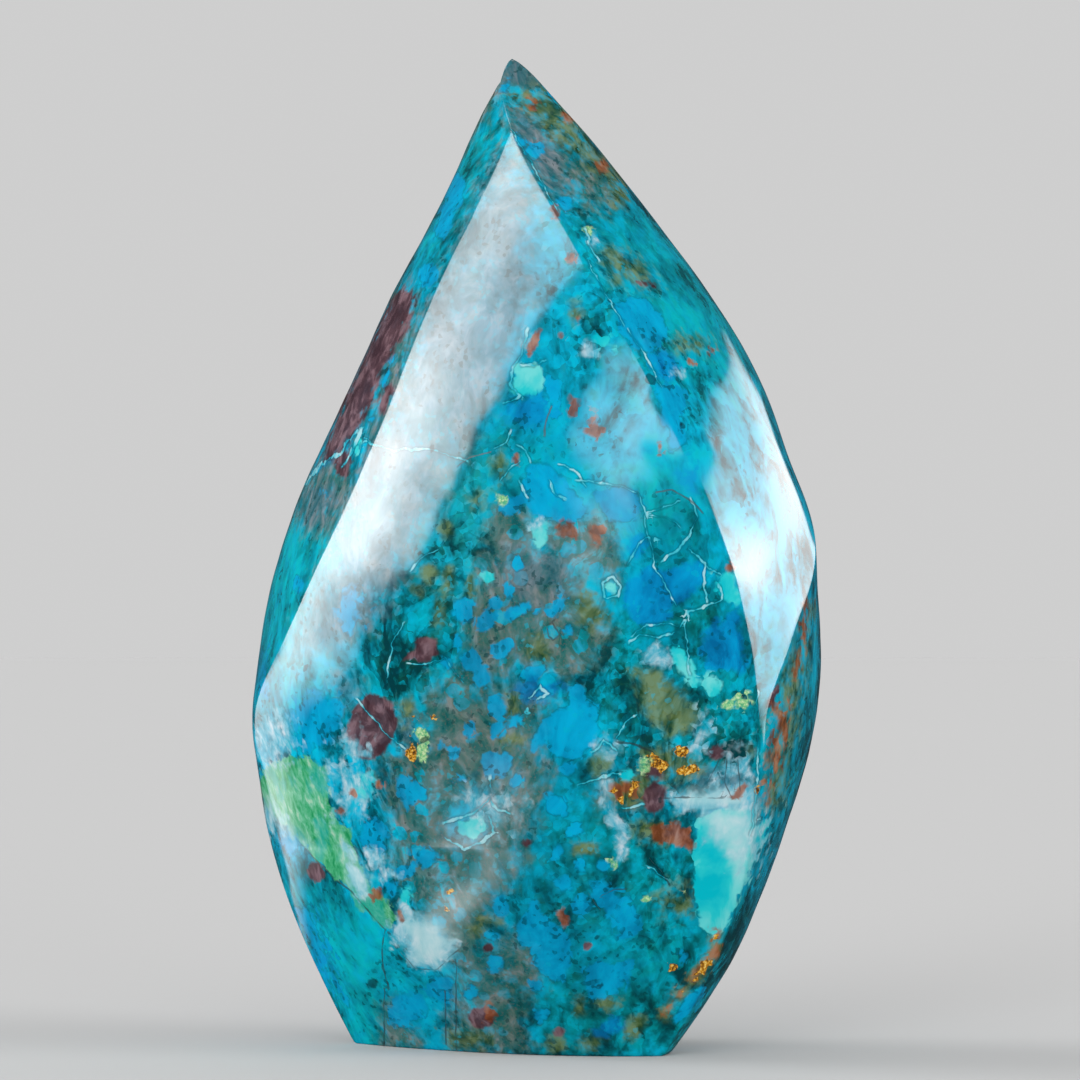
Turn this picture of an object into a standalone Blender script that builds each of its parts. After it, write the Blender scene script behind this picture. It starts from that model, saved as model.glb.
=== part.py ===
"""A polished chrysocolla flame: one cut stone that stands on its own sawn base.

The stone is lofted from horizontal sections. Each section's corners lie on four ground ridges, and
bulged faces run between them. Front is -Y, right is +X, and heights are above the base.
Ridges and depths are in millimetres. A bearing is the compass direction that a face looks towards:
0 is the front, 90 the right, 180 the back and 270 the left.
"""

import math

import bmesh
import bpy
import numpy as np
from mathutils import Vector
from mathutils.geometry import interpolate_bezier

MM = 0.001

# Driving heights: the whole stone, and where ridges part or run together.
STONE_HEIGHT = 150.4
CAP_HEIGHT = 146.6  # the left face ends here, and the blunt cap of the tip begins
FRONT_SPLIT = 138.9  # the left ridge leaves the right ridge, and the front face opens
RIGHT_JOIN = 39.5  # the side ridge runs into the right ridge
LEFT_JOIN = 31.2  # the left ridge runs into the back-left ridge

# The blunt cap: its foot's middle, its highest point, and how fast it closes (1 is a plain cone).
CAP_MIDDLE = (1.2, 0.6)
CAP_PEAK = (0.1, 0.3)
CAP_CLOSING = 0.7

# Each ridge is a smooth line through points of height, x and y.
RIGHT_RIDGE = [
    (146.6, -1.8, -1.4),
    (138.9, 0.0, -8.0),
    (126.5, 5.9, -16.0),
    (113.5, 13.0, -22.0),
    (99.3, 20.7, -25.6),
    (83.4, 28.1, -25.8),
    (67.0, 33.6, -23.4),
    (50.9, 36.2, -19.8),
    (39.5, 36.4, -16.8),
    (25.8, 34.2, -13.2),
    (13.4, 29.9, -10.4),
    (0.0, 22.7, -8.0),
]
LEFT_RIDGE = [
    (138.9, 0.0, -8.0),
    (125.9, -5.4, -14.8),
    (113.3, -11.2, -18.4),
    (98.7, -17.0, -19.6),
    (83.8, -23.4, -18.0),
    (69.8, -30.2, -13.6),
    (61.1, -34.5, -8.8),
    (52.4, -38.4, -2.6),
    (41.8, -38.5, 5.2),
    (31.2, -37.2, 11.0),
]
BACK_LEFT_RIDGE = [
    (146.6, -1.8, -1.4),
    (140.4, -5.2, 3.2),
    (128.7, -10.3, 6.2),
    (115.7, -17.1, 7.8),
    (101.6, -23.7, 8.6),
    (84.4, -32.1, 9.4),
    (67.1, -37.6, 10.5),
    (51.8, -39.5, 11.4),
    (31.2, -37.2, 11.0),
    (15.6, -31.9, 11.0),
    (0.0, -24.3, 11.3),
]
SIDE_RIDGE = [
    (147.1, 4.2, 2.0),
    (140.7, 10.2, 5.0),
    (128.9, 20.2, 8.0),
    (115.8, 30.1, 9.2),
    (101.6, 38.3, 8.4),
    (88.2, 43.0, 4.6),
    (74.9, 45.9, -4.0),
    (65.8, 42.9, -13.0),
    (58.5, 40.0, -17.0),
    (50.9, 37.5, -18.7),
    (45.2, 37.1, -17.9),
    (39.5, 36.4, -16.8),
]
# Not a ridge: the soft line where the back face rolls past the stone's widest place.
SHOULDER = [
    (146.6, 3.7, 3.0),
    (140.0, 9.5, 6.6),
    (128.0, 18.5, 10.9),
    (115.0, 27.3, 13.6),
    (101.0, 34.8, 14.3),
    (84.0, 42.2, 11.0),
    (75.0, 45.4, 8.4),
    (67.0, 46.8, 7.2),
    (58.0, 47.2, 6.8),
    (50.0, 46.5, 6.8),
    (39.0, 43.7, 6.4),
    (25.0, 38.7, 5.0),
    (12.0, 32.5, 1.5),
    (0.0, 24.0, -2.6),
]

# Each face has rows of height and of the bearings at which it starts and ends, going round
# anticlockwise as seen from above. The back face's last number is how far back it reaches.
FRONT_FACE = [
    (138.9, -14, -4),
    (128, -20, 0),
    (115, -25, 2),
    (101, -29, 5),
    (84, -37, 9),
    (67, -50, 16),
    (52, -62, 23),
    (39, -72, 29),
    (25, -72, 31),
    (12, -62, 25),
    (0, -44, 8),
]
RIGHT_FACE = [
    (146.6, 30, 100),
    (138.9, 36, 96),
    (128, 40, 90),
    (115, 42, 88),
    (101, 43, 88),
    (84, 43, 84),
    (67, 40, 54),
    (52, 38, 42),
    (39.5, 38, 40),
]
ROLLED_FACE = [
    (146.6, 140, 147),
    (140, 129, 142),
    (128, 124, 139),
    (115, 120, 136),
    (101, 114, 129),
    (84, 98, 114),
    (75, 82, 101),
    (67, 68, 93),
    (58, 57, 90),
    (50, 52, 90),
    (39, 55, 90),
    (25, 60, 90),
    (12, 62, 90),
    (0, 64, 90),
]
BACK_FACE = [
    (146.6, 147, 230, 2.7),
    (140, 142, 236, 8.0),
    (128, 139, 238, 15.0),
    (115, 136, 240, 20.8),
    (101, 129, 243, 25.8),
    (84, 114, 248, 30.2),
    (75, 101, 250, 31.6),
    (67, 93, 252, 32.2),
    (58, 90, 254, 32.3),
    (50, 90, 256, 31.8),
    (39, 90, 258, 30.4),
    (25, 90, 250, 27.3),
    (12, 90, 242, 23.2),
    (0, 90, 236, 18.5),
]
LEFT_FACE = [
    (146.6, 262, 330),
    (138.9, 260, 316),
    (128, 260, 312),
    (115, 260, 308),
    (101, 261, 305),
    (84, 264, 300),
    (67, 268, 293),
    (52, 272, 286),
    (39, 276, 281),
    (31.2, 278, 280),
]

# Points across each face, and the spacing of the sections.
FRONT_POINTS = 16
RIGHT_POINTS = 10
ROLLED_POINTS = 5
BACK_POINTS = 18
LEFT_POINTS = 9
SECTION_GAP = 3.8
CAP_SECTIONS = 4
SAME_POINT = 0.01  # closer than this, two points are one

STONE_COLOUR = (0.03, 0.30, 0.38, 1.0)
STONE_ROUGHNESS = 0.12
SHARP_ANGLE = math.radians(14)


def smooth_line(rows):
    """A natural cubic spline through rows of height and values, as a function of the height."""
    table = np.array(sorted(rows), dtype=float)
    heights, values = table[:, 0], table[:, 1:]
    gaps = np.diff(heights)
    slopes = np.diff(values, axis=0) / gaps[:, None]
    system = np.eye(len(heights))
    bends = np.zeros_like(values)
    for i in range(1, len(heights) - 1):
        system[i, i - 1 : i + 2] = gaps[i - 1], 2 * (gaps[i - 1] + gaps[i]), gaps[i]
        bends[i] = 6 * (slopes[i] - slopes[i - 1])
    bends = np.linalg.solve(system, bends)

    def value_at(height):
        height = min(max(height, heights[0]), heights[-1])
        i = min(int(np.searchsorted(heights, height, side="right")) - 1, len(gaps) - 1)
        gap = gaps[i]
        after = (height - heights[i]) / gap
        before = 1 - after
        straight = before * values[i] + after * values[i + 1]
        bend = (before**3 - before) * bends[i] + (after**3 - after) * bends[i + 1]
        return (straight + bend * gap * gap / 6).tolist()

    return value_at


def along_face(bearing):
    """The direction along a face that looks towards a bearing."""
    angle = math.radians(bearing)
    return Vector((math.cos(angle), math.sin(angle)))


def face_curve(start, end, bearings, points, depth=None):
    """One face in one section: a curve from corner to corner, without its last point.

    The curve is as round as a circle's arc, unless a depth says how far back it reaches.
    """
    first, last = along_face(bearings[0]), along_face(bearings[1])
    if depth is None:
        turn = math.radians(bearings[1] - bearings[0])
        reach = (end - start).length / (3 * math.cos(turn / 4) ** 2)
    else:
        reach = (depth - (start.y + end.y) / 2) * 8 / 3 / (first.y - last.y)
    curve = interpolate_bezier(start, start + reach * first, end - reach * last, end, points + 1)
    return curve[:-1]


class Stone:
    """The stone's outline at any height."""

    def __init__(self):
        self.right = smooth_line(RIGHT_RIDGE)
        self.left = smooth_line(LEFT_RIDGE)
        self.back_left = smooth_line(BACK_LEFT_RIDGE)
        self.side = smooth_line(SIDE_RIDGE)
        self.shoulder = smooth_line(SHOULDER)
        self.front_face = smooth_line(FRONT_FACE)
        self.right_face = smooth_line(RIGHT_FACE)
        self.rolled_face = smooth_line(ROLLED_FACE)
        self.back_face = smooth_line(BACK_FACE)
        self.left_face = smooth_line(LEFT_FACE)

    def corners(self, height):
        """The right, side, shoulder, back-left and left corners. Ridges that have joined coincide."""
        right = Vector(self.right(height))
        back_left = Vector(self.back_left(height))
        side = Vector(self.side(height)) if height > RIGHT_JOIN else right
        shoulder = Vector(self.shoulder(height))
        if height <= LEFT_JOIN:
            left = back_left
        elif height < FRONT_SPLIT:
            left = Vector(self.left(height))
        else:
            left = right
        return right, side, shoulder, back_left, left

    def section(self, height):
        """The outline below the cap, going round from the left corner."""
        right, side, shoulder, back_left, left = self.corners(height)
        back_start, back_end, depth = self.back_face(height)
        outline = face_curve(left, right, self.front_face(height), FRONT_POINTS)
        outline += face_curve(right, side, self.right_face(height), RIGHT_POINTS)
        outline += face_curve(side, shoulder, self.rolled_face(height), ROLLED_POINTS)
        outline += face_curve(shoulder, back_left, (back_start, back_end), BACK_POINTS, depth)
        outline += face_curve(back_left, left, self.left_face(height), LEFT_POINTS)
        return outline

    def cap_section(self, share):
        """The cap's outline, where share runs from 0 at its foot to 1 at the peak."""
        middle = Vector(CAP_MIDDLE)
        new_middle = middle.lerp(Vector(CAP_PEAK), share)
        width = (1 - share) ** CAP_CLOSING
        return [new_middle + (point - middle) * width for point in self.section(CAP_HEIGHT)]


def section_heights():
    """Evenly spaced heights between the ones where ridges part or join."""
    marks = [0.0, LEFT_JOIN, RIGHT_JOIN, FRONT_SPLIT, CAP_HEIGHT]
    heights = [0.0]
    for low, high in zip(marks, marks[1:]):
        steps = math.ceil((high - low) / SECTION_GAP)
        heights += [low + (high - low) * i / steps for i in range(1, steps + 1)]
    return heights


def stone_rings():
    """Every ring of points from the base to the peak, as 3-D points in metres."""
    stone = Stone()
    rings = []
    for height in section_heights():
        rings.append([Vector((p.x, p.y, height)) * MM for p in stone.section(height)])
    for i in range(1, CAP_SECTIONS + 1):
        share = i / CAP_SECTIONS
        height = CAP_HEIGHT + share * (STONE_HEIGHT - CAP_HEIGHT)
        rings.append([Vector((p.x, p.y, height)) * MM for p in stone.cap_section(share)])
    return rings


def loft(rings):
    """A closed mesh through the rings, with the base left as one flat face."""
    bm = bmesh.new()
    levels = [[bm.verts.new(point) for point in ring] for ring in rings]
    for lower, upper in zip(levels, levels[1:]):
        for i in range(len(lower)):
            j = (i + 1) % len(lower)
            bm.faces.new((lower[i], lower[j], upper[j], upper[i]))
    bm.faces.new(reversed(levels[0]))
    bmesh.ops.remove_doubles(bm, verts=bm.verts, dist=SAME_POINT * MM)
    bmesh.ops.dissolve_degenerate(bm, edges=bm.edges, dist=SAME_POINT * MM)
    bmesh.ops.recalc_face_normals(bm, faces=bm.faces)
    return bm


def centre_over_base(bm):
    """Moves the stone so that the middle of its width and depth is over the origin."""
    for axis in (0, 1):
        places = [vert.co[axis] for vert in bm.verts]
        middle = (min(places) + max(places)) / 2
        for vert in bm.verts:
            vert.co[axis] -= middle


def stone_material():
    material = bpy.data.materials.new("polished_chrysocolla")
    material.use_nodes = True
    shader = material.node_tree.nodes["Principled BSDF"]
    shader.inputs["Base Color"].default_value = STONE_COLOUR
    shader.inputs["Roughness"].default_value = STONE_ROUGHNESS
    shader.inputs["Metallic"].default_value = 0.0
    return material


def make_flame():
    bm = loft(stone_rings())
    centre_over_base(bm)
    mesh = bpy.data.meshes.new("chrysocolla_flame")
    bm.to_mesh(mesh)
    bm.free()
    mesh.shade_smooth()
    mesh.set_sharp_from_angle(angle=SHARP_ANGLE)
    mesh.materials.append(stone_material())
    flame = bpy.data.objects.new("chrysocolla_flame", mesh)
    bpy.context.scene.collection.objects.link(flame)


for old in list(bpy.data.objects):
    bpy.data.objects.remove(old, do_unlink=True)

make_flame()
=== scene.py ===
"""A polished chrysocolla flame, with its minerals, its polish and soft studio light.

The stone is lofted from the same sections as its CAD node, finely enough to round its ridges and to
carry its minerals. Front is -Y and right is +X.
"""

import math

import bmesh
import bpy
import numpy as np
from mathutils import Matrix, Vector


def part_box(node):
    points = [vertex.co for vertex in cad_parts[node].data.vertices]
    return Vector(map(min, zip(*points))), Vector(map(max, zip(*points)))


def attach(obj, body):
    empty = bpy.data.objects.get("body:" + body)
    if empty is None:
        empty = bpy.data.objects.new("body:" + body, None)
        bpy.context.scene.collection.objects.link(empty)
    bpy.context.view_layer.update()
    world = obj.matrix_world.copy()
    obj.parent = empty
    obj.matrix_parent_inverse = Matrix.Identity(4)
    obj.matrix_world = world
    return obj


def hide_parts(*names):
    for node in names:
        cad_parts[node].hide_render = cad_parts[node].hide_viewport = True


MM = 0.001

# The camera looks along +Y and a little up. Its picture is FRAME by FRAME.
FRAME = 1080
CAMERA_PLACE = (0.5, -602.3, 61.1)
CAMERA_PITCH = math.radians(1.533)
CAMERA_LENS = 132.06
CAMERA_SENSOR = 36.0

# ---------------------------------------------------------------- the stone's shape, in mm

STONE_HEIGHT = 150.4
CAP_HEIGHT = 146.6
FRONT_SPLIT = 138.9
RIGHT_JOIN = 39.5
LEFT_JOIN = 31.2

CAP_MIDDLE = (1.2, 0.6)
CAP_PEAK = (0.1, 0.3)
CAP_CLOSING = 0.7

RIGHT_RIDGE = [
    (146.6, -1.8, -1.4), (138.9, 0.0, -8.0), (126.5, 5.9, -16.0), (113.5, 13.0, -22.0), (99.3, 20.7, -25.6),
    (83.4, 28.1, -25.8), (67.0, 33.6, -23.4), (50.9, 36.2, -19.8), (39.5, 36.4, -16.8), (25.8, 34.2, -13.2),
    (13.4, 29.9, -10.4), (0.0, 22.7, -8.0),
]
LEFT_RIDGE = [
    (138.9, 0.0, -8.0), (125.9, -5.4, -14.8), (113.3, -11.2, -18.4), (98.7, -17.0, -19.6),
    (83.8, -23.4, -18.0), (69.8, -30.2, -13.6), (61.1, -34.5, -8.8), (52.4, -38.4, -2.6),
    (41.8, -38.5, 5.2), (31.2, -37.2, 11.0),
]
BACK_LEFT_RIDGE = [
    (146.6, -1.8, -1.4), (140.4, -5.2, 3.2), (128.7, -10.3, 6.2), (115.7, -17.1, 7.8), (101.6, -23.7, 8.6),
    (84.4, -32.1, 9.4), (67.1, -37.6, 10.5), (51.8, -39.5, 11.4), (31.2, -37.2, 11.0), (15.6, -31.9, 11.0),
    (0.0, -24.3, 11.3),
]
SIDE_RIDGE = [
    (147.1, 4.2, 2.0), (140.7, 10.2, 5.0), (128.9, 20.2, 8.0), (115.8, 30.1, 9.2), (101.6, 38.3, 8.4),
    (88.2, 43.0, 4.6), (74.9, 45.9, -4.0), (65.8, 42.9, -13.0), (58.5, 40.0, -17.0), (50.9, 37.5, -18.7),
    (45.2, 37.1, -17.9), (39.5, 36.4, -16.8),
]
SHOULDER = [
    (146.6, 3.7, 3.0), (140.0, 9.5, 6.6), (128.0, 18.5, 10.9), (115.0, 27.3, 13.6), (101.0, 34.8, 14.3),
    (84.0, 42.2, 11.0), (75.0, 45.4, 8.4), (67.0, 46.8, 7.2), (58.0, 47.2, 6.8), (50.0, 46.5, 6.8),
    (39.0, 43.7, 6.4), (25.0, 38.7, 5.0), (12.0, 32.5, 1.5), (0.0, 24.0, -2.6),
]

FRONT_FACE = [
    (138.9, -14, -4), (128, -20, 0), (115, -25, 2), (101, -29, 5), (84, -37, 9), (67, -50, 16),
    (52, -62, 23), (39, -72, 29), (25, -72, 31), (12, -62, 25), (0, -44, 8),
]
RIGHT_FACE = [
    (146.6, 30, 100), (138.9, 36, 96), (128, 40, 90), (115, 42, 88), (101, 43, 88), (84, 43, 84),
    (67, 40, 54), (52, 38, 42), (39.5, 38, 40),
]
ROLLED_FACE = [
    (146.6, 140, 147), (140, 129, 142), (128, 124, 139), (115, 120, 136), (101, 114, 129), (84, 98, 114),
    (75, 82, 101), (67, 68, 93), (58, 57, 90), (50, 52, 90), (39, 55, 90), (25, 60, 90), (12, 62, 90),
    (0, 64, 90),
]
BACK_FACE = [
    (146.6, 147, 230, 2.7), (140, 142, 236, 8.0), (128, 139, 238, 15.0), (115, 136, 240, 20.8),
    (101, 129, 243, 25.8), (84, 114, 248, 30.2), (75, 101, 250, 31.6), (67, 93, 252, 32.2),
    (58, 90, 254, 32.3), (50, 90, 256, 31.8), (39, 90, 258, 30.4), (25, 90, 250, 27.3), (12, 90, 242, 23.2),
    (0, 90, 236, 18.5),
]
LEFT_FACE = [
    (146.6, 262, 330), (138.9, 260, 316), (128, 260, 312), (115, 260, 308), (101, 261, 305), (84, 264, 300),
    (67, 268, 293), (52, 272, 286), (39, 276, 281), (31.2, 278, 280),
]

# How finely the stone is modelled: points across each face, and the sections' gap.
FACE_POINTS = {"front": 146, "right": 38, "rolled": 16, "back": 108, "left": 32}
CURVE_POINTS = 60
SECTION_GAP = 0.57
CAP_SECTIONS = 9
BASE_SECTIONS = 10
EDGE_ROUND = 0.36  # how far a ridge's polish reaches to each side of it
EDGE_PLACES = (0.0, 0.16, 0.34, 0.56)
BASE_ROUND = [(0.0, 0.45), (0.1, 0.2), (0.35, 0.05)]  # height, and how far the edge draws in
SAME_POINT = 0.02

# The hand polish is slightly wavy: height, and length of each wave along x, y and z.
WAVES = [
    (0.035, (23.0, 31.0, 19.0)),
    (0.022, (-11.0, 17.0, 27.0)),
    (0.014, (9.0, -13.0, 8.0)),
]


def smooth_line(rows):
    """A natural cubic spline through rows of height and values, as a function of the height."""
    table = np.array(sorted(rows), dtype=float)
    heights, values = table[:, 0], table[:, 1:]
    gaps = np.diff(heights)
    slopes = np.diff(values, axis=0) / gaps[:, None]
    system = np.eye(len(heights))
    bends = np.zeros_like(values)
    for i in range(1, len(heights) - 1):
        system[i, i - 1 : i + 2] = gaps[i - 1], 2 * (gaps[i - 1] + gaps[i]), gaps[i]
        bends[i] = 6 * (slopes[i] - slopes[i - 1])
    bends = np.linalg.solve(system, bends)

    def value_at(height):
        height = min(max(height, heights[0]), heights[-1])
        i = min(int(np.searchsorted(heights, height, side="right")) - 1, len(gaps) - 1)
        gap = gaps[i]
        after = (height - heights[i]) / gap
        before = 1 - after
        straight = before * values[i] + after * values[i + 1]
        bend = (before**3 - before) * bends[i] + (after**3 - after) * bends[i + 1]
        return straight + bend * gap * gap / 6

    return value_at


def along_face(bearing):
    """The direction along a face that looks towards a bearing."""
    angle = math.radians(bearing)
    return np.array((math.cos(angle), math.sin(angle)))


def face_curve(start, end, bearings, depth=None):
    """One face in one section, from corner to corner."""
    first, last = along_face(bearings[0]), along_face(bearings[1])
    if depth is None:
        turn = math.radians(bearings[1] - bearings[0])
        reach = np.linalg.norm(end - start) / (3 * math.cos(turn / 4) ** 2)
    else:
        reach = (depth - (start[1] + end[1]) / 2) * 8 / 3 / (first[1] - last[1])
    t = np.linspace(0, 1, CURVE_POINTS)[:, None]
    inner = 3 * t * (1 - t) ** 2 * (start + reach * first) + 3 * t**2 * (1 - t) * (end - reach * last)
    return (1 - t) ** 3 * start + inner + t**3 * end


def face_places(count, length):
    """Places along a face, close together near its two ends."""
    near = np.array(EDGE_PLACES) * min(1.0, length / 4)
    middle = np.linspace(near[-1], length - near[-1], count - 2 * len(near) + 3)
    return np.concatenate((near[:-1], middle, length - near[-2:0:-1]))


def rounded(line, places):
    """Points at places along a closed line, each the middle of a short run of it, so corners are round."""
    steps = np.linalg.norm(np.diff(line, axis=0), axis=1)
    along = np.concatenate(([0.0], np.cumsum(steps)))
    sums = np.cumsum((line[1:] + line[:-1]) / 2 * steps[:, None], axis=0)
    sums = np.concatenate((np.zeros((1, 2)), sums))
    headings = np.diff(line, axis=0) / np.maximum(steps, 1e-9)[:, None]

    def sum_to(place):
        turns = np.floor(place / along[-1])
        rest = place - turns * along[-1]
        i = np.clip(np.searchsorted(along, rest, side="right") - 1, 0, len(steps) - 1)
        part = (rest - along[i])[:, None]
        return turns[:, None] * sums[-1] + sums[i] + line[i] * part + headings[i] * part**2 / 2

    reach = min(EDGE_ROUND, along[-1] / 40)
    return (sum_to(places + reach) - sum_to(places - reach)) / (2 * reach)


class Stone:
    """The stone's outline at any height."""

    def __init__(self):
        self.right = smooth_line(RIGHT_RIDGE)
        self.left = smooth_line(LEFT_RIDGE)
        self.back_left = smooth_line(BACK_LEFT_RIDGE)
        self.side = smooth_line(SIDE_RIDGE)
        self.shoulder = smooth_line(SHOULDER)
        self.front_face = smooth_line(FRONT_FACE)
        self.right_face = smooth_line(RIGHT_FACE)
        self.rolled_face = smooth_line(ROLLED_FACE)
        self.back_face = smooth_line(BACK_FACE)
        self.left_face = smooth_line(LEFT_FACE)

    def faces(self, height):
        """The faces' curves, going round from the left corner."""
        right = self.right(height)
        back_left = self.back_left(height)
        side = self.side(height) if height > RIGHT_JOIN else right
        shoulder = self.shoulder(height)
        left = right
        if height <= LEFT_JOIN:
            left = back_left
        elif height < FRONT_SPLIT:
            left = self.left(height)
        back_start, back_end, depth = self.back_face(height)
        return {
            "front": face_curve(left, right, self.front_face(height)),
            "right": face_curve(right, side, self.right_face(height)),
            "rolled": face_curve(side, shoulder, self.rolled_face(height)),
            "back": face_curve(shoulder, back_left, (back_start, back_end), depth),
            "left": face_curve(back_left, left, self.left_face(height)),
        }

    def section(self, height):
        faces = self.faces(height)
        line = [curve[:-1] for curve in faces.values()]
        line = np.concatenate(line + [line[0][:1]])
        places = []
        start = 0.0
        for name, curve in faces.items():
            length = np.linalg.norm(np.diff(curve, axis=0), axis=1).sum()
            places.append(start + face_places(FACE_POINTS[name], length))
            start += length
        return rounded(line, np.concatenate(places))


def level(outline, height):
    return np.column_stack((outline, np.full(len(outline), height)))


def stone_levels():
    """Rings of points from the middle of the base, round its edge and up to the peak."""
    stone = Stone()
    foot = stone.section(0)
    middle = foot.mean(axis=0)
    radius = np.linalg.norm(foot - middle, axis=1)[:, None]
    levels = []
    for i in range(BASE_SECTIONS):
        edge = foot - (foot - middle) / radius * BASE_ROUND[0][1]
        levels.append(level(middle + (edge - middle) * i / BASE_SECTIONS, 0.0))
    for height, inset in BASE_ROUND:
        outline = stone.section(height)
        levels.append(level(outline - (outline - middle) / radius * inset, height))
    marks = [BASE_ROUND[-1][0], LEFT_JOIN, RIGHT_JOIN, FRONT_SPLIT, CAP_HEIGHT]
    for low, high in zip(marks, marks[1:]):
        steps = math.ceil((high - low) / SECTION_GAP)
        for i in range(1, steps + 1):
            height = low + (high - low) * i / steps
            levels.append(level(stone.section(height), height))
    cap_middle = np.array(CAP_MIDDLE)
    cap_foot = levels[-1][:, :2] - cap_middle
    for i in range(1, CAP_SECTIONS + 1):
        share = i / CAP_SECTIONS
        new_middle = cap_middle + (np.array(CAP_PEAK) - cap_middle) * share
        height = CAP_HEIGHT + (STONE_HEIGHT - CAP_HEIGHT) * share
        levels.append(level(new_middle + cap_foot * (1 - share) ** CAP_CLOSING, height))
    return np.array(levels)


def polish_waves(places):
    """How far the polish stands proud of the true shape, fading out at the base."""
    total = np.zeros(len(places))
    for height, lengths in WAVES:
        turns = (places / np.array(lengths)).sum(axis=1)
        total += height * np.sin(2 * math.pi * turns)
    return total * np.clip((places[:, 2] - 1) / 6, 0, 1)


def make_stone():
    """The stone as one closed mesh, in metres, standing where its CAD node stands."""
    levels = stone_levels()
    rings, columns = levels.shape[:2]
    here = np.arange(columns)
    beside = (here + 1) % columns
    faces = []
    for i in range(rings - 1):
        low, high = i * columns, (i + 1) * columns
        faces.append(np.column_stack((low + here, low + beside, high + beside, high + here)))
    mesh = bpy.data.meshes.new("polished_stone")
    mesh.from_pydata((levels.reshape(-1, 3) * MM).tolist(), [], np.concatenate(faces).tolist())
    bm = bmesh.new()
    bm.from_mesh(mesh)
    bmesh.ops.remove_doubles(bm, verts=bm.verts, dist=SAME_POINT * MM)
    bmesh.ops.dissolve_degenerate(bm, edges=bm.edges, dist=SAME_POINT * MM / 2)
    bmesh.ops.recalc_face_normals(bm, faces=bm.faces)
    bm.to_mesh(mesh)
    bm.free()
    places = read_vectors(mesh.vertices, "co") / MM
    places += read_vectors(mesh.vertices, "normal") * polish_waves(places)[:, None]
    low, high = (np.array(corner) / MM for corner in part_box("chrysocolla_flame"))
    places[:, :2] += (low[:2] + high[:2]) / 2 - (places[:, :2].min(axis=0) + places[:, :2].max(axis=0)) / 2
    mesh.vertices.foreach_set("co", (places * MM).ravel())
    mesh.update()
    mesh.shade_smooth()
    stone = bpy.data.objects.new("polished_stone", mesh)
    bpy.context.scene.collection.objects.link(stone)
    return stone


def read_vectors(items, name):
    values = np.empty(len(items) * 3)
    items.foreach_get(name, values)
    return values.reshape(-1, 3)


# ---------------------------------------------------------------- where the minerals are

# Every marking is placed where it is seen from the camera, in its picture's points: x runs to
# the right and y down. PICTURE_SCALE of them make a millimetre. The larger a marking's softness is,
# the more its edge is spread. Crushed, greener, deeper, brighter and smooth are softly bounded parts of
# the stone's body, and the others are minerals.
# The brighter parts are partly the body's own lighter tone and partly painted light: painted highlight under
# the reflections on the right face and near its ridge, and painted light along the left limb.
PICTURE_SCALE = 6.6
FAR = 7.0  # mm: beyond this it doesn't matter how far off a marking is
WRAP = 0.55  # how fast a marking ends once it has gone round the stone's limb
LINE_REACH = 2.0  # mm: how far from a vein or a crack its place still counts
LIMB_BAND = 1.5  # mm: how high the bands are in which the limb's place is found

# The hidden side has the same sorts of marking, the other way up and larger.
TURNED_SCALE = (0.82, -0.9)
TURNED_SHIFT = (85.2, 1100)

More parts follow.
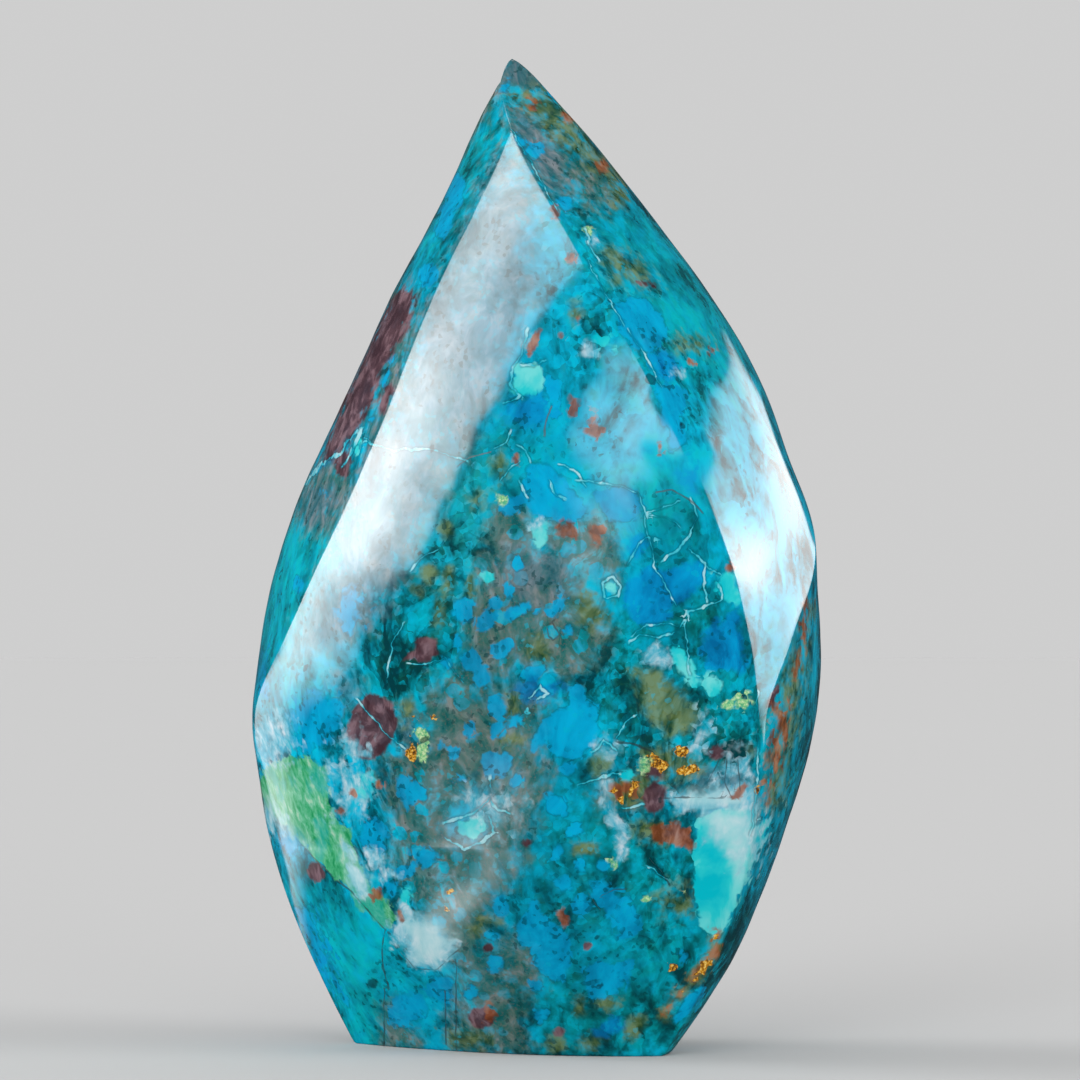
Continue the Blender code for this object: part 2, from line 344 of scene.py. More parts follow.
# x, y, half its width and half its height, then its turn anticlockwise and its softness, if any.
OVALS = {
    "sky": [
        (506, 85, 6, 5), (535, 151, 10, 8, -10), (521, 140, 4, 8, 40), (565, 203, 9, 6, -20),
        (455, 190, 10, 16, -12), (446, 218, 7, 22, -14), (428, 275, 9, 12, -10), (511, 505, 12, 9, 20),
        (519, 564, 5, 6), (509, 590, 5, 8, 10), (495, 604, 8, 8), (487, 621, 12, 9, 38),
        (463, 611, 10, 13, -30), (557, 607, 5, 13, -38), (567, 630, 6, 6), (458, 641, 4, 9),
        (501, 648, 13, 8, 10), (470, 660, 11, 10, -20), (447, 662, 5, 7), (483, 677, 10, 10),
        (533, 672, 14, 8, 20), (497, 707, 11, 14, 35), (498, 728, 8, 10, -30), (516, 722, 6, 5),
        (455, 751, 6, 8, -20), (470, 731, 6, 9, -10), (441, 744, 3, 4), (458, 780, 6, 3),
        (496, 765, 16, 13, -20), (517, 781, 6, 8), (568, 768, 8, 7), (556, 805, 14, 10, -30),
        (575, 830, 7, 8), (557, 852, 6, 8, -30), (580, 865, 7, 6), (603, 866, 7, 6), (563, 883, 10, 8),
        (501, 905, 9, 10), (492, 935, 6, 6), (582, 906, 11, 9, 30), (536, 986, 6, 6), (540, 1014, 8, 7),
        (494, 965, 8, 9), (470, 993, 6, 5), (682, 956, 3, 9), (690, 1004, 6, 22, -38),
        (374, 835, 15, 17, 10, 1.6), (425, 856, 12, 9, -30, 1.4), (405, 871, 10, 6), (391, 887, 7, 10, 20),
        (408, 1010, 20, 17, 20, 2), (440, 990, 13, 14, 10, 2), (288, 842, 12, 10, -50, 1.5),
        (350, 610, 10, 18, -20, 3), (300, 585, 5, 7), (264, 676, 4, 20, 0, 2), (323, 492, 3, 3),
        (372, 419, 4, 3), (386, 378, 9, 4, 55), (392, 360, 5, 3, 40),
    ],
    "royal": [
        (612, 1027, 12, 9, 20), (600, 1032, 8, 6), (530, 410, 24, 18, 20, 2.5), (318, 968, 5, 16, -30, 2),
        (637, 545, 12, 10, 40, 1.6), (690, 478, 10, 16, 10, 2.5), (540, 690, 22, 10, 0, 2),
    ],
    "aqua": [
        (357, 446, 4, 10), (605, 340, 9, 8, 20, 1.5), (711, 685, 9, 10, 0, 1.4), (611, 588, 5, 5),
        (488, 577, 6, 5), (625, 775, 12, 5, 0, 1.4),
    ],
    "pale": [
        (592, 239, 6, 8, 10), (537, 523, 9, 7), (678, 371, 4, 4), (744, 759, 9, 5, 20, 2.5),
        (702, 738, 5, 16, -24, 2.5), (606, 748, 8, 4, -20, 2.5), (504, 812, 15, 12, 0, 3.5),
        (276, 738, 12, 22, -10, 3), (478, 800, 12, 8, 40, 3), (355, 745, 8, 8, 0, 3),
        (270, 820, 8, 10, -30, 2.5), (525, 340, 3, 12, -5), (588, 352, 8, 7),
    ],
    "matrix": [(520, 965, 14, 22, 20, 2), (590, 176, 26, 16, -20, 2.5), (620, 794, 20, 13, 10, 1.6)],
    "slate_and_painted_highlight": [(530, 575, 34, 26, 0, 4), (345, 692, 13, 16, 0, 2.5), (408, 722, 9, 16, 0, 2)],
    "frost": [(716, 800, 36, 9, -2, 1.4)],
    "olive": [
        (540, 648, 12, 10, 0, 1.5), (668, 714, 11, 12), (601, 764, 12, 10), (512, 704, 6, 14, -15),
        (512, 740, 12, 7), (478, 500, 7, 8, 0, 1.5), (500, 470, 6, 16, 0, 1.5), (428, 572, 8, 9),
        (407, 712, 6, 12, 0, 1.6), (450, 578, 6, 14), (470, 586, 6, 12), (445, 530, 7, 8),
        (437, 610, 5, 16), (418, 590, 4, 5), (676, 902, 16, 12, 0, 2.2), (592, 1042, 13, 8),
        (634, 1026, 7, 14, -35), (468, 1040, 20, 10, 0, 2), (556, 1045, 8, 6), (606, 1004, 12, 5),
        (580, 1003, 4, 8), (585, 848, 14, 6), (610, 172, 10, 8, -30, 1.5), (617, 195, 6, 10, 10, 1.5),
        (575, 312, 6, 10, 10), (810, 612, 4, 12), (640, 340, 10, 5, -45, 1.5), (690, 345, 14, 6, 0, 2),
        (750, 752, 4, 5), (372, 780, 3, 8), (484, 925, 12, 8, 20, 2),
    ],
    "maroon": [
        (316, 872, 8, 10, 20), (481, 1017, 12, 12), (488, 948, 5, 4), (655, 770, 10, 8, 0, 2.5),
        (716, 752, 7, 8, 20, 1.3), (587, 946, 4, 4), (560, 1031, 5, 3, 10), (773, 695, 3, 12, -20),
        (646, 284, 12, 3, -10), (527, 842, 5, 4), (385, 400, 5, 16, -20, 1.4),
    ],
    "rust": [
        (567, 119, 6, 5, -45), (532, 104, 6, 5, 0, 1.3), (602, 166, 7, 5, -30, 1.5), (556, 213, 5, 8, 15),
        (572, 258, 5, 7, -10), (516, 459, 4, 8, 8), (561, 336, 3, 3), (578, 320, 3, 3), (711, 351, 5, 4),
        (692, 361, 5, 4), (597, 533, 8, 10, 0, 1.6), (341, 810, 4, 4), (354, 794, 3, 4), (380, 785, 4, 4),
        (377, 895, 5, 5, 0, 1.4), (401, 915, 3, 7, 20), (489, 1012, 5, 7, 0, 1.5), (730, 567, 5, 5, -40),
        (622, 790, 11, 7, 0, 2), (563, 918, 4, 8, 10, 1.5), (660, 448, 3, 7), (594, 424, 8, 11, 0, 3),
        (574, 406, 5, 9, 0, 2), (637, 790, 4, 10),
    ],
    "gold": [
        (414, 721, 4, 4), (447, 911, 2, 3), (452, 919, 2, 2), (459, 898, 2, 2), (450, 892, 2, 2),
        (434, 716, 2, 2), (710, 962, 3, 3), (671, 966, 3, 3), (757, 792, 3, 4), (650, 757, 5, 3),
        (657, 763, 6, 4), (666, 769, 6, 4), (680, 752, 6, 5), (682, 771, 7, 5), (693, 768, 6, 5),
        (636, 784, 3, 3), (614, 790, 2, 2), (630, 793, 2, 2), (622, 801, 2, 2), (706, 962, 3, 3),
        (694, 980, 2, 2), (682, 990, 2, 2), (716, 938, 2, 3), (705, 968, 3, 2), (699, 974, 2, 2),
    ],
    "lime": [
        (588, 231, 5, 5), (743, 701, 8, 8, 0, 1.5), (728, 706, 7, 4, 0, 1.2), (500, 499, 6, 5, 0, 1.5),
        (646, 900, 4, 2), (680, 893, 6, 2), (644, 761, 5, 5, 0, 2), (640, 770, 4, 3, 0, 2),
    ],
    "dark": [
        (432, 450, 2.4, 6), (385, 454, 2.2, 3), (390, 466, 2, 2), (403, 461, 2, 2),
        (306, 668, 2.4, 4.5, -20), (650, 379, 5, 7, 30), (683, 425, 4, 4), (597, 938, 3, 3),
        (590, 928, 3, 2), (600, 985, 4, 3, 30), (424, 740, 5, 2, 20), (660, 800, 3, 3),
        (384, 372, 6, 3, 50), (372, 984, 6, 5, 0, 1.6),
    ],
    "greener": [
        (660, 500, 26, 22, 0, 8), (318, 535, 16, 34, -14, 4), (508, 1010, 10, 12, 0, 3),
        (668, 735, 30, 12, 0, 5), (622, 645, 14, 24, 0, 5),
    ],
    "deeper": [(722, 548, 8, 16, 0, 3), (442, 786, 18, 14, 0, 5)],
    "brighter_and_painted_light": [(630, 952, 20, 18, 0, 4), (408, 880, 14, 16, 0, 3)],
}

# Softness, then the outline's points.
PATCHES = {
    "sky": [
        (1, (614, 302), (640, 298), (662, 316), (668, 338), (650, 352), (630, 346), (617, 326)),
        (1, (655, 385), (680, 384), (690, 400), (680, 420), (690, 440), (672, 450), (662, 420)),
        (1, (528, 468), (546, 462), (562, 478), (576, 497), (590, 506), (584, 519), (560, 521),
         (533, 515), (519, 498)), (1, (546, 372), (562, 384), (560, 410), (552, 420), (545, 395)),
        (1, (594, 492), (616, 487), (636, 491), (645, 505), (637, 520), (618, 525), (603, 512)),
        (1, (503, 616), (514, 605), (530, 601), (539, 613), (526, 611), (511, 621)),
        (1, (566, 712), (570, 690), (577, 684), (586, 697), (600, 706), (596, 722), (580, 722)),
        (1, (530, 742), (541, 722), (556, 709), (578, 706), (592, 717), (600, 732), (588, 750),
         (582, 758), (566, 760), (551, 754), (548, 742), (534, 751)),
        (1, (397, 780), (405, 774), (413, 781), (427, 790), (427, 798), (413, 803), (404, 811), (400, 800)),
        (1.6, (587, 886), (604, 878), (622, 893), (640, 915), (641, 932), (618, 942), (612, 915),
         (597, 905)),
        (1, (527, 904), (536, 897), (540, 911), (557, 925), (573, 939), (569, 960), (563, 983),
         (545, 975), (532, 962), (534, 944), (521, 948), (516, 930)),
        (1.4, (583, 967), (600, 961), (616, 966), (632, 961), (629, 983), (612, 992), (590, 1000),
         (584, 984)),
        (2.5, (296, 912), (311, 908), (320, 935), (334, 975), (346, 1002), (334, 990), (310, 950)),
        (3, (290, 716), (300, 700), (322, 690), (340, 700), (336, 730), (318, 748), (296, 744)),
    ],
    "royal": [
        (1, (628, 578), (648, 568), (668, 570), (702, 560), (704, 577), (696, 592), (682, 600),
         (673, 606), (668, 620), (645, 627), (634, 618), (622, 600)),
        (1.3, (704, 637), (716, 622), (737, 610), (744, 640), (749, 666), (738, 672), (722, 668),
         (708, 668), (702, 655)), (1.3, (645, 355), (668, 352), (682, 366), (672, 382), (656, 378)),
    ],
    "aqua": [
        (1, (694, 822), (720, 806), (757, 812), (755, 843), (746, 880), (736, 905), (728, 926),
         (716, 938), (702, 930), (694, 900), (695, 860)),
        (1.3, (513, 366), (532, 362), (543, 371), (541, 388), (523, 397), (512, 392)),
        (1.3, (668, 646), (684, 650), (694, 668), (706, 684), (696, 690), (682, 674), (672, 660)),
        (1.3, (715, 573), (734, 572), (741, 600), (729, 606), (718, 594)),
        (1, (530, 526), (547, 522), (545, 546), (538, 552)),
        (1, (455, 822), (480, 818), (488, 828), (474, 840), (458, 834)),
        (1, (398, 890), (408, 886), (414, 905), (407, 912), (400, 903)),
        (1.5, (352, 775), (374, 770), (374, 790), (364, 800), (352, 795)),
        (1.5, (720, 842), (762, 820), (772, 822), (745, 885)),
    ],
    "pale": [
        (1, (641, 650), (654, 643), (668, 647), (674, 658), (668, 668), (655, 665), (642, 660)),
        (1.3, (672, 794), (700, 794), (722, 790), (742, 780), (756, 788), (760, 802), (745, 812),
         (700, 814), (684, 812), (670, 802)),
        (1, (712, 776), (724, 764), (744, 764), (754, 774), (752, 782), (738, 772), (724, 774), (716, 786)),
        (4, (728, 812), (758, 812), (756, 845), (744, 862), (730, 846)),
        (1, (602, 780), (614, 778), (612, 800), (616, 812), (624, 820), (627, 836), (626, 858),
         (620, 858), (614, 830), (602, 805)),
        (1, (388, 927), (400, 912), (412, 918), (420, 912), (428, 926), (461, 942), (450, 958),
         (437, 970), (415, 969), (408, 956), (408, 940), (396, 946)),
        (1, (342, 843), (352, 848), (366, 880), (367, 895), (360, 901), (350, 885)),
        (3, (330, 770), (346, 762), (366, 768), (366, 790), (358, 812), (346, 818), (336, 800)),
        (1, (364, 852), (374, 846), (384, 862), (396, 876), (386, 882), (374, 872)),
        (1, (398, 898), (410, 908), (421, 925), (409, 932), (399, 915)),
    ],
    "matrix": [
        (2, (497, 512), (522, 512), (534, 545), (558, 570), (582, 580), (602, 622), (594, 655),
         (568, 668), (520, 664), (500, 668), (474, 640), (470, 600), (490, 560)),
        (2, (440, 690), (480, 645), (500, 662), (470, 700), (520, 694), (552, 700), (540, 712),
         (528, 760), (505, 790), (470, 775), (452, 800), (432, 860), (394, 866), (394, 812), (400, 770),
         (388, 762), (428, 742), (432, 715)),
        (2, (395, 820), (430, 812), (446, 850), (480, 848), (520, 770), (545, 770), (515, 850),
         (490, 900), (478, 950), (464, 955), (440, 925), (420, 905), (400, 872)),
        (2, (457, 950), (502, 955), (514, 985), (520, 1048), (456, 1050)),
        (2, (549, 520), (612, 522), (612, 575), (575, 575), (548, 552)),
        (2.5, (510, 104), (535, 118), (572, 158), (566, 190), (545, 184), (520, 150)),
        (1.5, (500, 66), (512, 60), (540, 85), (520, 82), (505, 78)),
        (2, (312, 466), (345, 468), (350, 500), (326, 530), (300, 515)),
        (1, (385, 1006), (392, 1000), (420, 1044), (385, 1048)),
        (1.6, (398, 306), (422, 312), (404, 400), (386, 430), (380, 384)),
        (1.5, (390, 290), (408, 300), (398, 360), (370, 440), (395, 350)),
        (2, (552, 596), (580, 590), (600, 612), (597, 640), (574, 663), (546, 660)),
    ],
    "slate_and_painted_highlight": [
        # This band follows the left highlight. Its grey is partly painted highlight, giving the reflection
        # there its cream-white tint.
        (2.5, (504, 150), (524, 196), (534, 280), (500, 380), (454, 470), (410, 552), (380, 616),
         (330, 650), (296, 650), (330, 560), (372, 450), (430, 310), (480, 190)),
        (1.6, (499, 62), (515, 56), (530, 72), (524, 84), (500, 86)),
        (2, (512, 108), (530, 112), (560, 156), (562, 190), (538, 176), (520, 146)),
        (1.6, (412, 280), (404, 300), (380, 360), (352, 420), (330, 462), (312, 500), (330, 440),
         (360, 370)), (1.6, (306, 490), (330, 480), (344, 500), (320, 530), (300, 524)),
        (1.4, (690, 776), (712, 768), (740, 764), (756, 778), (754, 794), (700, 796)),
    ],
    "frost": [
        (1.2, (700, 806), (745, 806), (757, 820), (752, 850), (740, 880), (730, 860), (716, 840),
         (704, 820)), (1, (398, 915), (428, 918), (458, 940), (438, 966), (414, 964), (406, 940)),
        (1.2, (258, 806), (270, 800), (290, 824), (310, 846), (296, 842), (272, 822)),
        (1, (342, 846), (352, 850), (366, 882), (366, 896), (350, 884)),
    ],
    "olive": [
        (2, (516, 97), (548, 90), (580, 126), (606, 163), (595, 172), (562, 140), (532, 116)),
        (1.8, (604, 248), (622, 250), (648, 272), (657, 287), (640, 288), (616, 277), (604, 262)),
        (1.5, (586, 590), (602, 603), (608, 618), (596, 628), (580, 622), (576, 604)),
        (1.2, (632, 670), (656, 670), (684, 696), (696, 716), (688, 732), (668, 736), (648, 722),
         (640, 700)), (1.6, (632, 828), (646, 822), (668, 826), (664, 842), (642, 840)),
        (1.3, (606, 786), (622, 776), (650, 772), (654, 798), (630, 806), (610, 800)),
        (1.6, (644, 752), (668, 748), (694, 756), (700, 772), (684, 780), (660, 778), (648, 768)),
    ],
    "maroon": [
        (1.8, (405, 286), (416, 300), (410, 320), (398, 345), (386, 362), (372, 400), (352, 440),
         (332, 462), (322, 462), (340, 410), (366, 350), (390, 300)),
        (1, (334, 458), (347, 449), (353, 460), (346, 481), (336, 474)),
        (1, (413, 640), (424, 637), (437, 640), (436, 655), (426, 664), (413, 657), (402, 660), (414, 650)),
        (1, (361, 699), (368, 692), (392, 702), (397, 722), (392, 742), (380, 757), (363, 760),
         (350, 749), (346, 730), (352, 712)),
        (1.3, (643, 788), (656, 782), (666, 790), (664, 806), (655, 816), (645, 808)),
    ],
    "rust": [
        (1.2, (653, 828), (672, 823), (690, 830), (694, 845), (688, 851), (668, 843), (652, 840)),
        (1, (537, 332), (541, 330), (537, 345), (529, 357), (527, 352), (533, 340)),
        (1, (729, 798), (745, 783), (748, 787), (737, 801)),
        (1.6, (556, 528), (566, 522), (578, 530), (575, 540), (562, 538)),
    ],
    "gold": [(1, (410, 737), (416, 740), (417, 752), (414, 761), (409, 760), (403, 752), (410, 748))],
    "lime": [
        (1, (417, 748), (424, 744), (427, 752), (425, 765), (418, 763)),
        (1, (416, 724), (424, 727), (427, 737), (421, 741), (413, 733)),
        (1, (427, 741), (431, 744), (430, 755), (428, 755)),
    ],
    "malachite": [
        (1, (258, 782), (268, 766), (290, 755), (312, 758), (326, 768), (330, 795), (334, 818),
         (350, 828), (356, 852), (370, 888), (392, 905), (399, 922), (390, 930), (374, 920), (356, 904),
         (346, 886), (322, 866), (302, 842), (280, 822), (265, 808)),
    ],
    "crushed": [
        (9, (500, 430), (520, 470), (505, 530), (480, 600), (445, 690), (400, 700), (365, 690),
         (385, 630), (430, 560), (460, 490)),
        (8, (556, 220), (580, 260), (620, 300), (610, 340), (570, 370), (560, 300), (548, 240)),
        (9, (610, 660), (700, 700), (750, 690), (750, 760), (640, 770), (600, 730)),
        (9, (510, 790), (600, 840), (610, 880), (560, 940), (480, 930)),
    ],
    "greener": [
        (9, (640, 285), (700, 290), (735, 340), (720, 372), (660, 360)),
        (8, (600, 230), (660, 240), (700, 290), (640, 260)),
        (9, (270, 520), (330, 520), (320, 600), (290, 680), (262, 640)),
        (9, (610, 850), (690, 860), (696, 940), (640, 940), (600, 900)),
        (9, (590, 640), (640, 630), (640, 700), (600, 700)),
        (10, (440, 440), (500, 470), (480, 600), (420, 700), (380, 690), (430, 560)),
        (9, (470, 120), (510, 120), (490, 180), (455, 260), (440, 240)),
        (9, (700, 680), (757, 690), (757, 770), (700, 770)),
        (3, (683, 612), (700, 608), (720, 606), (716, 622), (702, 633), (680, 633)),
        (6, (556, 985), (700, 985), (694, 1052), (552, 1052)),
        (8, (584, 826), (668, 838), (672, 900), (610, 900), (580, 860)),
        (7, (640, 930), (716, 930), (700, 990), (640, 990)),
        (8, (300, 900), (380, 930), (384, 1040), (346, 1040)),
    ],
    "deeper": [
        (6, (530, 1018), (600, 1010), (694, 1010), (690, 1054), (526, 1054)),
        (8, (584, 836), (668, 838), (672, 890), (610, 890), (580, 860)),
        (8, (640, 670), (750, 670), (752, 750), (650, 750)),
        (5, (680, 930), (716, 930), (700, 990), (672, 990)),
        (7, (560, 640), (620, 640), (620, 690), (560, 680)),
        (5, (400, 600), (424, 596), (422, 656), (404, 660)),
    ],
    # Most of these patches are painted highlight and painted light. They lighten the body under the
    # reflections on the right face and near its ridge, and along the left limb. The one at the bottom left is
    # the body's own lighter tone.
    "brighter_and_painted_light": [
        (6, (350, 950), (384, 940), (446, 980), (440, 1006), (360, 1012)),
        (6, (590, 290), (650, 300), (704, 360), (706, 470), (684, 470), (650, 380), (600, 350)),
        (6, (600, 356), (650, 400), (640, 500), (590, 500), (570, 440)),
        (5, (716, 400), (732, 400), (740, 490), (722, 490)),
        (4, (752, 600), (772, 600), (768, 740), (756, 740)),
        (7, (262, 690), (300, 680), (330, 690), (330, 745), (270, 750)),
        (7, (262, 540), (290, 540), (270, 660), (252, 640)),
        (8, (520, 450), (620, 440), (620, 520), (530, 520)),
    ],
    "smooth": [
        (6, (275, 850), (320, 870), (390, 930), (400, 970), (450, 1000), (450, 1048), (350, 1046)),
        (6, (625, 480), (700, 480), (745, 610), (700, 700), (620, 640)),
        (6, (520, 380), (600, 380), (640, 520), (520, 520), (500, 430)),
        (6, (690, 820), (760, 810), (730, 940), (690, 930)),
        (5, (500, 96), (508, 124), (424, 300), (368, 440), (304, 620), (258, 706), (246, 640),
         (268, 520), (330, 430), (400, 280)),
        (5, (510, 140), (540, 200), (545, 290), (500, 400), (450, 490), (405, 580), (340, 670),
         (290, 660), (380, 440), (450, 250)),
        (9, (470, 700), (600, 700), (640, 900), (640, 1040), (480, 1040)),
        (5, (516, 92), (600, 160), (690, 270), (742, 350), (716, 372), (650, 300), (590, 220), (540, 150)),
        (4, (776, 600), (806, 600), (796, 730), (764, 840), (756, 800), (766, 690)),
    ],
}

# Softness, width, then the points it runs through.
STROKES = {
    "sky": [(1, 4, (314, 472), (334, 457), (350, 440))],
    "olive": [
        (1.5, 14, (794, 660), (784, 720), (773, 800)), (1.5, 5, (804, 620), (800, 680), (790, 740)),
        (1, 10, (718, 930), (712, 950), (703, 966)),
        (1, 10, (716, 946), (704, 968), (690, 984), (676, 996), (664, 1014)),
    ],
    "rust": [
        (1.5, 7, (776, 704), (771, 750), (765, 802)), (1.4, 4, (787, 700), (783, 740), (778, 768)),
        (1.5, 4, (808, 600), (802, 640), (794, 676)), (2, 4, (719, 932), (712, 954), (701, 970)),
        (2, 4, (715, 950), (702, 970), (688, 984), (675, 997), (665, 1012)),
    ],
    "lime": [(1.4, 3, (604, 850), (612, 862), (616, 870))],
}

# Width, then the points it runs through. Veins that meet are in different lists.
LINES = {
    "veins_first": [
        (6, (306, 482), (322, 464), (340, 453), (351, 437), (360, 430)), (4, (360, 436), (374, 444)),
        (4.5, (692, 552), (700, 558), (707, 565), (717, 573)),
        (4, (632, 641), (640, 634), (658, 637), (674, 635), (683, 622), (690, 612), (705, 605),
         (722, 601), (719, 588)), (3, (686, 614), (685, 632), (688, 655), (690, 672)),
        (3.4, (645, 518), (648, 537)), (5, (664, 559), (675, 553), (684, 545), (688, 537)),
        (3, (562, 466), (578, 472), (584, 484)), (4.5, (521, 484), (526, 494)),
        (4, (498, 446), (505, 441), (509, 434)),
        (5, (527, 332), (523, 348), (517, 360), (510, 372), (511, 388), (520, 396), (507, 402)),
        (4.5, (586, 232), (590, 245), (598, 258)), (3, (402, 626), (393, 640), (390, 656), (387, 673)),
        (4, (446, 660), (454, 671), (461, 679)), (3, (522, 714), (526, 701), (531, 714), (522, 714)),
        (4, (601, 582), (612, 577), (622, 586), (618, 598), (606, 597), (601, 582)),
        (4.5, (625, 808), (640, 805)), (4, (492, 800), (498, 810), (506, 813)),
        (3.6, (617, 736), (625, 723), (633, 717)), (4.5, (650, 868), (657, 873), (664, 877)),
        (2.8, (650, 514), (668, 517), (677, 525)), (2.4, (513, 132), (532, 166), (556, 208)),
        (2.2, (630, 332), (646, 356), (660, 384)),
    ],
    "veins_second": [
        (4.5, (360, 432), (353, 450), (344, 464)), (4, (366, 442), (398, 450), (430, 449), (464, 460)),
        (3.4, (706, 568), (704, 582), (707, 598)), (3, (635, 633), (645, 625), (660, 624), (674, 625)),
        (4.5, (628, 562), (634, 552), (640, 543), (648, 537), (656, 539)),
        (2.6, (650, 540), (655, 568), (674, 602)),
        (3.4, (580, 480), (600, 483), (620, 486), (637, 494), (641, 504), (646, 514)),
        (4.5, (550, 484), (556, 495), (562, 498)), (3, (503, 478), (508, 470), (516, 464)),
        (4, (520, 447), (527, 450), (530, 458)), (4, (524, 365), (533, 366), (543, 362)),
        (3, (358, 702), (374, 718), (385, 732), (402, 747)), (3, (413, 568), (422, 558), (434, 551)),
        (3.4, (411, 663), (424, 664), (440, 660)), (3, (532, 694), (539, 688), (549, 693), (540, 697)),
        (5, (582, 783), (600, 777), (616, 775)),
        (5, (447, 822), (463, 818), (480, 807), (492, 795), (490, 780)),
        (5, (447, 838), (464, 849), (480, 843), (494, 833), (490, 820)),
        (4, (595, 750), (604, 741), (614, 748)), (2.8, (645, 512), (660, 508), (676, 502)),
        (2.8, (692, 502), (697, 516), (692, 531)), (2.4, (590, 264), (604, 292), (622, 322)),
        (2.6, (758, 694), (758, 740), (757, 790), (751, 832)),
    ],
    "cracks": [
        (2.6, (465, 945), (451, 956), (437, 970), (415, 968), (403, 955)),
        (3.4, (384, 934), (382, 950), (383, 968), (388, 985)), (2.6, (384, 990), (384, 1046)),
        (2.6, (456, 960), (456, 1049)), (3, (445, 995), (446, 1040)),
        (4, (652, 861), (662, 872), (668, 882)), (3, (604, 894), (612, 890), (622, 889)),
        (3, (590, 896), (598, 907)), (3.2, (461, 464), (470, 457), (487, 453)),
        (3.6, (550, 410), (546, 420), (545, 432)),
        (3, (547, 626), (552, 622), (560, 634), (554, 641), (548, 636), (547, 626)),
        (3.2, (660, 492), (672, 490), (690, 500), (700, 510)), (3, (668, 798), (690, 797), (720, 798)),
        (4, (620, 742), (634, 744), (648, 750)),
        (3, (302, 845), (318, 862), (336, 880), (352, 892), (372, 916), (388, 932)),
        (2, (718, 762), (708, 782)), (2, (727, 762), (724, 782), (730, 794)), (2, (738, 764), (740, 786)),
    ],
}


def oval_depth(x, y, shape):
    """How deep points are inside an oval, in picture points; negative outside it."""
    middle_x, middle_y, across, up, turn = shape
    angle = math.radians(turn)
    dx, dy = x - middle_x, middle_y - y
    u = (dx * math.cos(angle) + dy * math.sin(angle)) / across
    v = (dy * math.cos(angle) - dx * math.sin(angle)) / up
    size = np.hypot(u, v)
    slope = np.hypot(u / across, v / up)
    return np.where(size > 0.05, (1 - size) * size / np.maximum(slope, 1e-6), min(across, up))


def segment_distance(x, y, start, end):
    run_x, run_y = end[0] - start[0], end[1] - start[1]
    share = ((x - start[0]) * run_x + (y - start[1]) * run_y) / max(run_x**2 + run_y**2, 1e-9)
    share = np.clip(share, 0, 1)
    return np.hypot(x - start[0] - share * run_x, y - start[1] - share * run_y)


def patch_depth(x, y, points):
    nearest = np.full(len(x), np.inf)
    inside = np.zeros(len(x), dtype=bool)
    for start, end in zip(points, points[1:] + points[:1]):
        nearest = np.minimum(nearest, segment_distance(x, y, start, end))
        crosses = (start[1] > y) != (end[1] > y)
        if start[1] != end[1]:
            cut = start[0] + (y - start[1]) * (end[0] - start[0]) / (end[1] - start[1])
            inside ^= crosses & (x < cut)
    return np.where(inside, nearest, -nearest)


def stroke_depth(x, y, shape):
    width, *points = shape
    distances = [segment_distance(x, y, start, end) for start, end in zip(points, points[1:])]
    return width / 2 - np.min(distances, axis=0)


def oval_marking(x, y, across, up, turn=0, soft=1):
    reach = max(across, up)
    return oval_depth, (x, y, across, up, turn), soft, (x - reach, x + reach, y - reach, y + reach)


def markings(name):
    """A mineral's markings: how to find the depth in each, its shape, its softness and its box."""
    for row in OVALS.get(name, ()):
        yield oval_marking(*row)
    for soft, *points in PATCHES.get(name, ()):
        yield patch_depth, points, soft, box_round(points)
    for soft, width, *points in STROKES.get(name, ()):
        yield stroke_depth, (width, *points), soft, box_round(points)


def box_round(points):
    xs, ys = zip(*points)
    return min(xs), max(xs), min(ys), max(ys)


def near_box(x, y, box, margin):
    left, right, top, bottom = box
    return (x > left - margin) & (x < right + margin) & (y > top - margin) & (y < bottom + margin)


def mineral_depth(name, x, y, beyond):
    """How deep each point is inside the nearest of a mineral's markings, in mm, from -FAR to FAR."""
    deepest = np.full(len(x), -FAR)
    for find_depth, shape, soft, box in markings(name):
        near = near_box(x, y, box, FAR * PICTURE_SCALE * soft) & (beyond < FAR / WRAP * soft)
        if near.any():
            depth = find_depth(x[near], y[near], shape) / PICTURE_SCALE / soft - beyond[near] * WRAP
            deepest[near] = np.maximum(deepest[near], depth)
    return np.clip(deepest, -FAR, FAR)


def nearest_line(name, x, y, beyond):
    """The nearest line to each point, in mm: how far to its side, how far in all, and its width."""
    found = np.full((len(x), 3), FAR)
    for width, *points in LINES[name]:
        near = near_box(x, y, box_round(points), LINE_REACH * PICTURE_SCALE)
        near = np.flatnonzero(near & (beyond < LINE_REACH / WRAP))
        for start, end in zip(points, points[1:]):
            distance = segment_distance(x[near], y[near], start, end) / PICTURE_SCALE + beyond[near] * WRAP
            run_x, run_y = end[0] - start[0], end[1] - start[1]
            side = (x[near] - start[0]) * run_y - (y[near] - start[1]) * run_x
            side /= math.hypot(run_x, run_y) * PICTURE_SCALE
            closer = distance < found[near, 1]
            rows = near[closer]
            found[rows, 0], found[rows, 1] = side[closer], distance[closer]
            found[rows, 2] = width / PICTURE_SCALE
    return found


def seen_from_camera(places):
    """Where places in mm are seen in the camera's picture."""
    away = places - np.array(CAMERA_PLACE)
    depth = away[:, 1] * math.cos(CAMERA_PITCH) + away[:, 2] * math.sin(CAMERA_PITCH)
    rise = away[:, 2] * math.cos(CAMERA_PITCH) - away[:, 1] * math.sin(CAMERA_PITCH)
    zoom = FRAME * CAMERA_LENS / CAMERA_SENSOR / depth
    return FRAME / 2 + away[:, 0] * zoom, FRAME / 2 - rise * zoom


